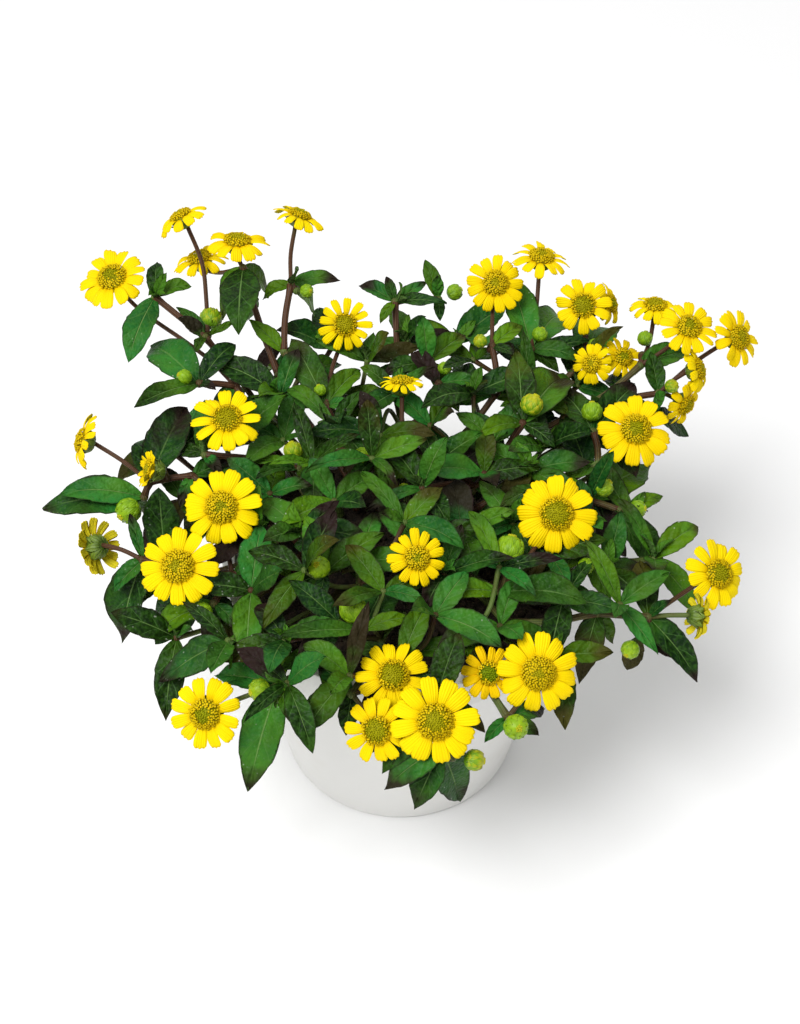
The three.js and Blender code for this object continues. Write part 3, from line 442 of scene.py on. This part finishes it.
def leaf(body, found, kind, draw, steps=22, slim=1.0):
    """One leaf over the curve, width and tilt that its solid has."""
    # The leaf's midrib is the quadratic curve that ends at the tip and passes both cuts at their shares.
    low, high, tip = found["low"], found["high"], found["tip"]
    r, s = cut_shares
    a, b = low - tip * r * r, high - tip * s * s
    p, q, m, n = (1 - r) ** 2, 2 * r * (1 - r), (1 - s) ** 2, 2 * s * (1 - s)
    root = (a * n - b * q) / (p * n - q * m)
    control = (b * p - a * m) / (p * n - q * m)
    side_low, side_high = found["wide"].normalized(), found["narrow"].normalized()
    half = found["wide"].length * draw.uniform(0.76, 0.98) * slim
    length = (tip - root).length
    wave, fold, phase = draw.uniform(0.01, 0.045), draw.uniform(0.03, 0.5), draw.uniform(0, 6.28)
    droop = draw.uniform(-0.1, 0.55)
    teeth = draw.randint(4, 6)
    rear, fore = draw.uniform(0.8, 1.05), draw.uniform(0.9, 1.15)
    broadest = (rear / (rear + fore)) ** rear * (fore / (rear + fore)) ** fore

    def oval(v):
        return min(1, v) ** rear * (1 - min(1, v)) ** fore / broadest

    def spine(v):
        place = root * (1 - v) ** 2 + control * (2 * v * (1 - v)) + tip * v * v
        run = ((control - root) * (1 - v) + (tip - control) * v).normalized()
        side = side_low.lerp(side_high, (v - r) / (s - r))
        side = (side - run * side.dot(run)).normalized()
        up = run.cross(side)
        return place, side, up if up.dot(found["up"]) > 0 else -up

    def width(v):
        tooth = (v * teeth) % 1 if 0.3 < v < 0.92 else 0.5
        return half * (0.01 + 0.07 * (1 - v) + oval(v) * (1 + 0.09 * (tooth - 0.5)))

    def relief(u, v):
        cupped = fold * (abs(u) ** 1.2 - 0.35) * (half * oval(v))
        groove = -0.1 * MM * math.exp(-((u / 0.05) ** 2))
        waves = wave * length * u * u * math.sin(9 * v + phase + (1.3 if u > 0 else 0)) * min(1, 3 * v)
        swell = 0.12 * MM * math.sin(5 * math.pi * (v - 0.25 * abs(u))) * abs(u) * (1 - abs(u)) * 4 * oval(v)
        return cupped + groove + waves + swell - droop * length * max(0, v - 0.45) ** 2

    def thick(u, v):
        rib = math.exp(-((u / 0.16) ** 2))
        return (0.28 + 0.4 * rib * (1 - v)) * MM * (1 - 0.7 * abs(u))

    upper = 1, 0.97, 0.58, 0.07, 0, -0.07, -0.58, -0.97, -1
    lower = 1, 0.74, 0.3, 0, -0.3, -0.74, -1
    blade(body, spine, width, relief, thick, kind, steps, upper, lower, finish=1)


leaf_skin = Finish("leaf_skin", Specular_IOR_Level=0.12)
kind = leaf_skin.attribute("kind")
across = leaf_skin.attribute("across")
u, v, over = abs(across.part(0)), across.part(1), across.part(2)
chance, blush = kind.part(0), kind.part(1)
hue = chance.maths("FRACT", chance * 7.3)
plain = chance.maths("FRACT", chance * 17.9)
arch = v * 3.9 - u * 1.35 + u * u * 0.4 + (leaf_skin.place.noise(160, 2) - 0.5) * 0.35
between = abs(arch.maths("FRACT", arch) - 0.5)
side_vein = between.rise(0.45, 0.5) * u.rise(0.96, 0.6) * v.rise(0.95, 0.75)
midrib = u.rise(0.06, 0.02) * v.rise(1.0, 0.6) * (0.45 + plain * 0.55)
patches = leaf_skin.place.noise(60, 4)
fine = leaf_skin.place.noise(850, 3)
cells = leaf_skin.place.node("TexVoronoi", {}, {"Vector": leaf_skin.place, "Scale": 900.0})
bright = chance * 1.2 + (patches - 0.5) * 2.2 - 0.15
cool = bright.blend((0.0025, 0.018, 0.0035), (0.02, 0.165, 0.023))
warm = bright.blend((0.007, 0.02, 0.0005), (0.1, 0.215, 0.001))
tone = (hue * 1.0 + (leaf_skin.place.noise(90, 3) - 0.5) * 1.4).blend(cool, warm)
flecked = (fine.rise(0.35, 0.75) * 0.35).blend(tone, (0.05, 0.16, 0.012))
young = kind.part(2).blend(flecked, (0.07, 0.2, 0.012))
veined = (side_vein * (0.25 + plain * 0.4)).blend(young, (0.07, 0.18, 0.035))
ribbed = (midrib * 0.8).blend(veined, (0.15, 0.27, 0.07))
edged = (u.rise(0.85, 1.0) * (0.5 + blush * 0.5)).blend(ribbed, (0.016, 0.014, 0.006))
dusk = v * 0.75 + (leaf_skin.place.noise(75, 4) - 0.5) * 1.3 + blush * 1.15
faded = (hue * 1.6 - 0.8).blend((0.019, 0.0075, 0.0075), (0.06, 0.055, 0.004))
dusky = (dusk.rise(0.93, 1.3) * 0.94).blend(edged, faded)
grains = leaf_skin.place.node("TexVoronoi", {}, {"Vector": leaf_skin.place, "Scale": 420.0})
margin = 0.35 + u.rise(0.4, 0.95) * 0.65
specks = grains.rise(0.14, 0.06) * leaf_skin.place.noise(28, 2).rise(0.46, 0.62) * margin
dusted = (specks * 0.6).blend(dusky, (0.5, 0.55, 0.45))
leaf_skin.wear("Base Color", (over.rise(0.6, 0.4) * 0.75).blend(dusted, (0.09, 0.155, 0.045)))
leaf_skin.wear("Roughness", 0.36 + fine * 0.2 + dusk.rise(1.0, 1.45) * 0.15)
leaf_skin.bump(between.rise(0.5, 0.1) * 0.35 + fine * 0.45 - cells * 0.3 - midrib * 0.4, 0.0008)

# Stems: round and faintly ribbed, green while young, then purple-brown. They thicken at the joints that bear
# the leaves, and each flower stands on a thinner stalk.
def stalk(body, path, radius_at, kind, sides=8, step=1.8 * MM):
    """A round stem along a smooth curve through path."""
    ends = [2 * path[0] - path[1], *path, 2 * path[-1] - path[-2]]
    line = []
    for a, b, c, d in zip(ends, ends[1:], ends[2:], ends[3:]):
        count = max(1, round((c - b).length / step))
        for t in (i / count for i in range(count)):
            cubic = (c - a) * t + (2 * a - 5 * b + 4 * c - d) * t ** 2 + (3 * b - a - 3 * c + d) * t ** 3
            line.append(b + 0.5 * cubic)
    line.append(path[-1])
    rings = []
    across = Vector((0.3, 0.9, 0.1))
    for k, place in enumerate(line):
        run = (line[min(k + 1, len(line) - 1)] - line[max(k - 1, 0)]).normalized()
        across = (across - run * across.dot(run)).normalized()
        over = run.cross(across)
        share = k / (len(line) - 1)
        angles = [2 * math.pi * i / sides for i in range(sides)]
        points = [place + radius_at(share) * (across * math.cos(a) + over * math.sin(a)) for a in angles]
        first = body.add(points, [(a / math.pi - 1, share, 0) for a in angles], kind)
        rings.append(list(range(first, first + sides)))
    body.tube(rings)


def around(axis, turn):
    """The direction square to an axis, turn radians round it."""
    side = axis.orthogonal().normalized()
    return side * math.cos(turn) + axis.cross(side) * math.sin(turn)


def ball(body, middle, radius, run, kind, finish=0, long=1.0, levels=7, sides=10):
    """A round or long ball with its poles along run."""
    angles = [2 * math.pi * i / sides for i in range(sides)]
    spokes = [around(run, a) for a in angles]
    rings = []
    for k in range(levels):
        tilt = math.pi * (k + 0.5) / levels
        out, up = radius * math.sin(tilt), -radius * long * math.cos(tilt)
        points = [middle + run * up + out * spoke for spoke in spokes]
        first = body.add(points, [(a / math.pi - 1, k / (levels - 1), 0) for a in angles], kind)
        rings.append(list(range(first, first + sides)))
    body.tube(rings, finish)


stem_skin = Finish("stem_skin", Roughness=0.5, Specular_IOR_Level=0.2)
ripe = stem_skin.attribute("kind").part(2)
turn = stem_skin.attribute("across").part(0)
stripe = turn.maths("SINE", turn * (9 * math.pi)) * 0.5 + 0.5
tone = (ripe + (stem_skin.place.noise(120) - 0.5) * 0.8).rise(0.3, 0.7)
green = stripe.blend((0.07, 0.12, 0.022), (0.13, 0.19, 0.045))
brown = stripe.blend((0.046, 0.019, 0.009), (0.105, 0.048, 0.022))
stem_skin.wear("Base Color", tone.blend(green, brown))
stem_skin.bump(stripe * 0.4 + stem_skin.place.noise(1800, 2), 0.00015)


# Buds: smooth green globes of close-set scales, paler and yellower at the crown, where the first florets push
# out.
def bud(body, middle, radius, run, kind, draw):
    ball(body, middle, radius * 0.95, run, kind, finish=2, long=0.92, levels=10, sides=20)
    scales = (8, 0.16, 0.62, 0.4), (8, 0.1, 0.5, 0.44), (6, 0.05, 0.36, 0.5)
    for row, (count, start, reach, broad) in enumerate(scales):
        for i in range(count):
            out = around(run, 2 * math.pi * (i + 0.5 * row + draw.uniform(-0.1, 0.1)) / count)
            swell = radius * (0.965 + 0.025 * row)

            def spine(v):
                tilt = math.pi * (start + reach * v)
                facing = out * math.sin(tilt) - run * math.cos(tilt)
                return middle + swell * facing, run.cross(out), facing

            blade(
                body, spine, lambda v: radius * (broad * math.sin(math.pi * (0.15 + 0.85 * v)) ** 0.7 + 0.01),
                lambda u, v: radius * (0.035 - 0.14 * u * u), lambda u, v: 0.1 * MM, kind,
                7, spread(5), spread(3), finish=2,
            )
    first_florets = 14
    for i in range(first_florets):
        out = 0.075 * math.sqrt(i)
        foot = run * (0.88 - 0.6 * out * out) + out * around(run, 2.4 * i)
        place = middle + foot * radius
        ball(body, place, radius * 0.085, run, (*kind[:2], 1), finish=2, long=1.3, levels=4, sides=6)


bud_skin = Finish("bud_skin", Roughness=0.42, Specular_IOR_Level=0.3)
across = bud_skin.attribute("across")
kind = bud_skin.attribute("kind")
turn = across.part(0)
ribs = turn.maths("SINE", turn * 14) * 0.5 + 0.5
crown = across.part(1).rise(0.2, 1.0) * 0.65 + ribs * 0.15 + bud_skin.place.noise(300) * 0.3
tone = crown.blend((0.06, 0.18, 0.004), (0.27, 0.46, 0.006))
rimmed = (abs(turn).rise(0.72, 1.0) * 0.4 * (1 - kind.part(2))).blend(tone, (0.03, 0.1, 0.004))
warm = (kind.part(1).rise(0.55, 1.0) * crown.rise(0.5, 0.9) * 0.7).blend(rimmed, (0.55, 0.45, 0.01))
bud_skin.wear("Base Color", kind.part(2).blend(warm, (0.55, 0.55, 0.01)))
bud_skin.bump(ribs * 0.5 + bud_skin.place.noise(1500), 0.00012)

# The shoots: each is one grown piece, from its root in the soil through its joints to its leaves, buds and
# bare stalks. A leaf that lies before a bud, as the viewer sees them, is slimmer.
shoot_names = sorted(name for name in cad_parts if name.startswith("shoot"))


def young_leaf(base, run, out, length):
    """A small steep leaf, told in the way that a leaf is read from its solid."""
    control = base + (run * 0.5 + out * 0.1) * length
    tip = base + (run * 0.8 + out * 0.55) * length
    low, high = (base * (1 - t) ** 2 + control * (2 * t * (1 - t)) + tip * t * t for t in cut_shares)
    side = run.cross(out) * length * 0.21
    return {"tip": tip, "low": low, "high": high, "wide": side, "narrow": side, "up": run - out}


shoots = {name: read_shoot(name) for name in shoot_names}
globes = [(middle, radius) for _, _, _, buds in shoots.values() for middle, radius, _ in buds]


def hides_bud(found):
    """Whether a leaf lies before a bud, as the viewer sees them."""
    low, high, tip = found["low"], found["high"], found["tip"]
    points = [low.lerp(high, t / 4) for t in range(5)] + [high.lerp(tip, t / 4) for t in range(1, 5)]
    for middle, radius in globes:
        for point in points:
            away = point - middle
            depth = away.dot(to_viewer)
            beside = (away - to_viewer * depth).length
            if 0 < depth < 40 * MM and beside < radius + found["wide"].length * 0.8:
                return True
    return False


for number, (name, (leaves, stems, joints, buds)) in enumerate(shoots.items()):
    draw = random.Random(number)
    body = Body()
    ripeness = draw.uniform(0.35, 0.85)
    for stem in stems:
        thin = stem["radius"] * 0.85
        path = stem["path"]
        swell = 0.3
        if stem["free"]:
            path = [*path[:-1], path[-1] + (path[-1] - path[-2]).normalized() * 0.8 * MM]
            swell = 0.0
        rise = (path[-1].z - soil_top) / (60 * MM)
        ripe_here = min(1, max(0, ripeness * 0.6 + rise * 0.6 + draw.uniform(-0.15, 0.2)))
        stalk(
            body, path, lambda t: thin * (1 + 0.25 * max(0, 1 - 6 * t) + swell * max(0, 6 * t - 5)),
            (draw.random(), 0, ripe_here),
        )
    for middle, radius in joints:
        ball(body, middle, radius * 0.66, UP, (draw.random(), 0, ripeness * 0.8))
    for found in leaves:
        old = draw.random() < (0.22 if found["tip"].z < 105 * MM else 0.06)
        blush = draw.uniform(0.55, 1.0) if old else draw.uniform(0.0, 0.55)
        leaf(body, found, (draw.random(), blush, 0), draw, slim=0.62 if hides_bud(found) else 1.0)
    taken = [stem["path"][0] for stem in stems] + [middle for middle, _, _ in buds]
    for middle, _ in joints:
        near = [found["low"] - middle for found in leaves if (found["low"] - middle).length < 13 * MM]
        if len(near) < 3 or any((place - middle).length < 9 * MM for place in taken):
            continue
        run = (mean(near).normalized() + UP * 0.5).normalized()
        start = draw.uniform(0, math.pi)
        for i in range(4):
            out = around(run, start + i * math.pi / 2)
            small = young_leaf(middle, run, out, (9 if i % 2 else 6) * MM * draw.uniform(0.8, 1.2))
            leaf(body, small, (draw.random(), draw.uniform(0, 0.3), draw.uniform(0.3, 0.9)), draw, 9)
    for middle, radius, run in buds:
        bud(body, middle, radius, run, (draw.random(), draw.random(), 0), draw)
    body.piece(f"{name}_grown", name, [stem_skin, leaf_skin, bud_skin])

# Flower heads: a low domed disc of tube florets, open and yellow outside and shut and green in the middle.
# About a dozen blunt notched petals stand round it, over a shallow cup of green bracts on the stalk's end.
# The one young head has a green disc and deeper gold petals.
petal_skin = Finish("petal_skin", Roughness=0.6, Specular_IOR_Level=0.05)
across = petal_skin.attribute("across")
kind = petal_skin.attribute("kind")
u, v, over = across.part(0), across.part(1), across.part(2)
ribs = u.maths("SINE", u * 19) * 0.5 + 0.5
gold = v.rise(0.0, 0.45).blend((0.8, 0.53, 0.001), (0.93, 0.7, 0.001))
gold = (kind.part(0) * 0.5).blend(gold, (0.97, 0.77, 0.002))
gold = (petal_skin.place.noise(500, 3).rise(0.4, 0.8) * 0.3).blend(gold, (0.93, 0.67, 0.002))
gold = (ribs * 0.1).blend(gold, (0.9, 0.62, 0.002))
deep_gold = kind.part(1).blend(gold, (0.9, 0.52, 0.002))
petal_skin.wear("Base Color", (over.rise(0.6, 0.4) * 0.7).blend(deep_gold, (0.72, 0.66, 0.03)))
petal_skin.bump(ribs + petal_skin.place.noise(2200, 2) * 0.4, 0.0001)

floret_skin = Finish("floret_skin", Roughness=0.6, Specular_IOR_Level=0.1)
kind = floret_skin.attribute("kind")
across = floret_skin.attribute("across")
tip = across.part(1).rise(0.3, 1.0) * (0.35 + kind.part(0) * 0.65)
green = tip.blend((0.13, 0.19, 0.001), (0.2, 0.31, 0.002))
olive = tip.blend((0.32, 0.26, 0.001), (0.5, 0.43, 0.003))
shut = kind.part(1).blend(olive, green)
opened = tip.blend((0.55, 0.39, 0.001), (0.82, 0.6, 0.003))
floret_skin.wear("Base Color", kind.part(2).blend(shut, opened))
floret_skin.bump(floret_skin.place.noise(2500, 2), 0.0001)

cup_skin = Finish("cup_skin", Roughness=0.5)
across = cup_skin.attribute("across")
turn = across.part(0)
ribs = turn.maths("SINE", turn * 10) * 0.5 + 0.5
leafy = across.part(1) * 0.6 + ribs * 0.25 + across.part(2) * 0.2
cup_skin.wear("Base Color", leafy.blend((0.035, 0.08, 0.006), (0.17, 0.26, 0.018)))
cup_skin.bump(ribs + cup_skin.place.noise(1500), 0.00012)


def read_flower(node):
    """The middle, axis, disc radius, petal tips and cup depth of a flower's solid."""
    places, _, near = skin_of(node)
    for top, ring in enumerate(near):
        middle = mean([places[i] for i in ring])
        rim = (places[min(ring)] - middle).length
        if len(ring) == 10 and is_even(places, ring, rim):
            break
    axis = (places[top] - middle).normalized()
    middle -= axis * 0.4 * MM
    tips = [place - middle for place, edges in zip(places, near) if len(edges) == 3]
    depth = max(-(place - middle).dot(axis) for place in places)
    return middle, axis, rim, tips, depth


def petal(body, root, out, axis, full, broad, tilt, droop, depth_of_gold, draw):
    """One petal that leaves its root along out, tilted over the disc's plane, and curls down by droop."""
    curl = draw.uniform(0.08, 0.22) + droop
    roll = draw.uniform(-0.6, 0.6)
    lobes = draw.uniform(0.03, 0.07)

    def spine(v):
        drop = tilt + curl * (1 - 2 * v)
        place = root + full * v * (out * math.cos(drop) + axis * math.sin(drop))
        slope = tilt + curl * (1 - 4 * v)
        across = axis.cross(out)
        up = axis * math.cos(slope) - out * math.sin(slope)
        c, s = math.cos(roll * v), math.sin(roll * v)
        return place, across * c + up * s, up * c - across * s

    def half(v):
        return broad * (0.42 + 0.58 * math.sin(math.pi * (0.02 + 0.57 * v)))

    def relief(u, v):
        ridges = 0.1 * math.cos(3 * math.pi * u) * min(1, 4 * v)
        return (ridges + 0.45 * (1 - u * u) * (1 - 0.6 * v)) * MM

    def end(u):
        notches = lobes * (1 - math.cos(3 * math.pi * u)) / 2 * (abs(u) < 0.67)
        return 1 - 0.14 * abs(u) ** 3.6 - notches

    kind = draw.random(), depth_of_gold, 0
    lower = 1, 0.67, 0.33, 0, -0.33, -0.67, -1
    blade(body, spine, half, relief, lambda u, v: 0.16 * MM, kind, 10, spread(13), lower, end=end)


def floret(body, root, lean, is_open, unripe, draw):
    """One tube floret along lean. An open one flares to a mouth, and a shut one ends in a blunt knob."""
    tall = (1.0 if is_open else 0.8) * MM * draw.uniform(0.8, 1.2)
    fat = (0.27 if is_open else 0.24) * draw.uniform(0.85, 1.2) * MM
    open_form = (0.2, 0.7), (0.8, 1.0), (1.0, 1.2), (0.75, 0.3)
    shut_form = (0.2, 0.7), (0.75, 1.0), (1.0, 0.5)
    sides = 5
    spokes = [around(lean, 2 * math.pi * k / sides) for k in range(sides)]
    rings = []
    for up, wide in open_form if is_open else shut_form:
        points = [root + lean * tall * up + fat * wide * spoke for spoke in spokes]
        first = body.add(points, [(0, up, 0)] * sides, (draw.random(), unripe, is_open))
        rings.append(list(range(first, first + sides)))
    body.tube(rings, 1, start=False)


def cup(body, middle, axis, depth, rim_radius, draw):
    """The cup under a head, from the stalk's end to the petals, with two rows of bracts on it."""
    foot_radius, sides = 1.3 * MM, 20

    def radius_at(up):
        return foot_radius + (rim_radius * 0.93 - foot_radius) * min(1, up) ** 0.45

    rings = []
    angles = [2 * math.pi * k / sides for k in range(sides)]
    for up in (0.0, 0.1, 0.35, 0.65, 1.0):
        wide = radius_at(up)
        points = [middle - axis * depth * (1 - up) + wide * around(axis, a) for a in angles]
        first = body.add(points, [(a / math.pi, up, 0) for a in angles], (0.5, 0, 0))
        rings.append(list(range(first, first + sides)))
    body.tube(rings, 2)
    for row, (bracts, long) in enumerate(((8, 1.05), (6, 0.8))):
        for i in range(bracts):
            out = around(axis, 2 * math.pi * (i + 0.5 * row + draw.uniform(-0.1, 0.1)) / bracts)
            flare = draw.uniform(0.2, 1.1) * MM

            def spine(v):
                share = v * long
                wide = radius_at(share) + (0.12 + 0.1 * row) * MM + flare * v ** 3
                place = middle - axis * depth * (1 - 0.92 * share) + out * wide
                up = (out * (1.1 - 0.5 * v) - axis * (0.5 + 0.5 * (1 - v))).normalized()
                return place, axis.cross(out), up

            blade(
                body, spine, lambda v: 1.6 * MM * math.sin(math.pi * (0.22 + 0.78 * v)) ** 0.8 + 0.02 * MM,
                lambda u, v: (0.14 - 0.45 * u * u) * MM, lambda u, v: 0.12 * MM, (draw.random(), 0, 0),
                6, spread(5), spread(3), finish=2,
            )


full_disc, full_count = 4.9 * MM, 170
petal_foot = 0.86
golden_turn = 2.39996
young_head = "flower_16"
for number, name in enumerate(sorted(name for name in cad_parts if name.startswith("flower"))):
    middle, axis, rim_radius, tips, depth = read_flower(name)
    draw = random.Random(100 + number)
    body = Body()
    lifts = [math.atan2(tip.dot(axis), (tip - axis * tip.dot(axis)).length - rim_radius) for tip in tips]
    lift = sum(lifts) / len(lifts)
    reach = max((tip - axis * tip.dot(axis)).length - rim_radius for tip in tips) / math.cos(lift)
    disc_radius = rim_radius * 0.87
    count = draw.choice([11, 12, 12, 13])
    spin = draw.uniform(0, 1)
    depth_of_gold = draw.random() * 0.3 + (0.6 if name == young_head else 0)
    droop = draw.uniform(0.0, 0.12) + (0.14 if axis.dot(to_viewer) < 0.75 and lift < 0.3 else 0)
    fullness = min(1, max(0, (rim_radius + reach - 9.5 * MM) / (2.5 * MM)))
    filled = draw.uniform(0.68 + 0.09 * fullness, 0.8 + 0.09 * fullness)
    broad = filled * math.pi * (rim_radius + 0.8 * reach) / count
    for i in range(count):
        out = around(axis, 2 * math.pi * (i + spin + draw.uniform(-0.14, 0.14)) / count)
        root = middle + out * disc_radius * petal_foot + axis * (0.2 * MM * (i % 2))
        full = reach * draw.uniform(0.84, 1.03) + rim_radius - disc_radius * petal_foot
        tilt = lift + draw.uniform(-0.22, 0.2)
        petal(body, root, out, axis, full, broad, tilt, droop, depth_of_gold, draw)

    dome = 0.6 * disc_radius
    unripe = 0.9 if name == young_head else draw.uniform(0.0, 0.5)
    ball(
        body, middle + axis * 0.1 * MM, disc_radius * 0.93, axis, (0.5, unripe, 0), finish=1,
        long=dome / disc_radius, levels=9, sides=24,
    )
    florets = round(full_count * (rim_radius / full_disc) ** 1.6)
    shut_share = draw.uniform(0.3, 0.75)
    for i in range(florets):
        share = math.sqrt((i + 0.5) / florets)
        out = around(axis, golden_turn * i + draw.uniform(-0.7, 0.7) / math.sqrt(i + 1))
        dome_height = dome * math.sqrt(1 - 0.88 * share ** 2.4) - 0.3 * MM
        root = middle + out * disc_radius * 0.99 * share + axis * dome_height
        lean = (axis + out * 0.8 * share ** 2).normalized()
        is_open = 1.0 if share > shut_share + draw.uniform(-0.12, 0.12) else 0.0
        floret(body, root, lean, is_open, unripe, draw)
    cup(body, middle, axis, depth, rim_radius, draw)
    body.piece(f"{name}_bloom", name, [petal_skin, floret_skin, cup_skin])

# The stand: a pale paper floor that reaches out of sight, with soft studio light from above, the left and
# behind. The standard view keeps the petals' yellow, which the default one washes out.
floor_mesh = bpy.data.meshes.new("floor")
span = 30.0
corners = [(-span, -span, 0), (span, -span, 0), (span, span, 0), (-span, span, 0)]
floor_mesh.from_pydata(corners, [], [(0, 1, 2, 3)])
floor_piece = bpy.data.objects.new("floor", floor_mesh)
bpy.context.scene.collection.objects.link(floor_piece)
paper = Finish("floor_paper", Roughness=0.9)
paper.wear("Base Color", paper.place.noise(4).blend((0.9, 0.9, 0.9), (0.93, 0.93, 0.93)))
floor_mesh.materials.append(paper.material)
for name, place, size, power in (
    ("key", (-0.6, -0.6, 1.5), 0.8, 26),
    ("fill", (1.0, -0.9, 0.9), 1.2, 2),
    ("back", (0.3, 1.1, 1.2), 1.0, 5),
):
    lamp = bpy.data.lights.new(name, "AREA")
    lamp.size = size
    lamp.energy = power
    light = bpy.data.objects.new(name, lamp)
    bpy.context.scene.collection.objects.link(light)
    light.location = place
    light.rotation_euler = (aim - light.location).to_track_quat("-Z", "Y").to_euler()
world = bpy.data.worlds.new("studio")
bpy.context.scene.world = world
world.use_nodes = True
world.node_tree.nodes["Background"].inputs["Color"].default_value = (1, 1, 1, 1)
world.node_tree.nodes["Background"].inputs["Strength"].default_value = 0.42
bpy.context.scene.view_settings.view_transform = "Standard"
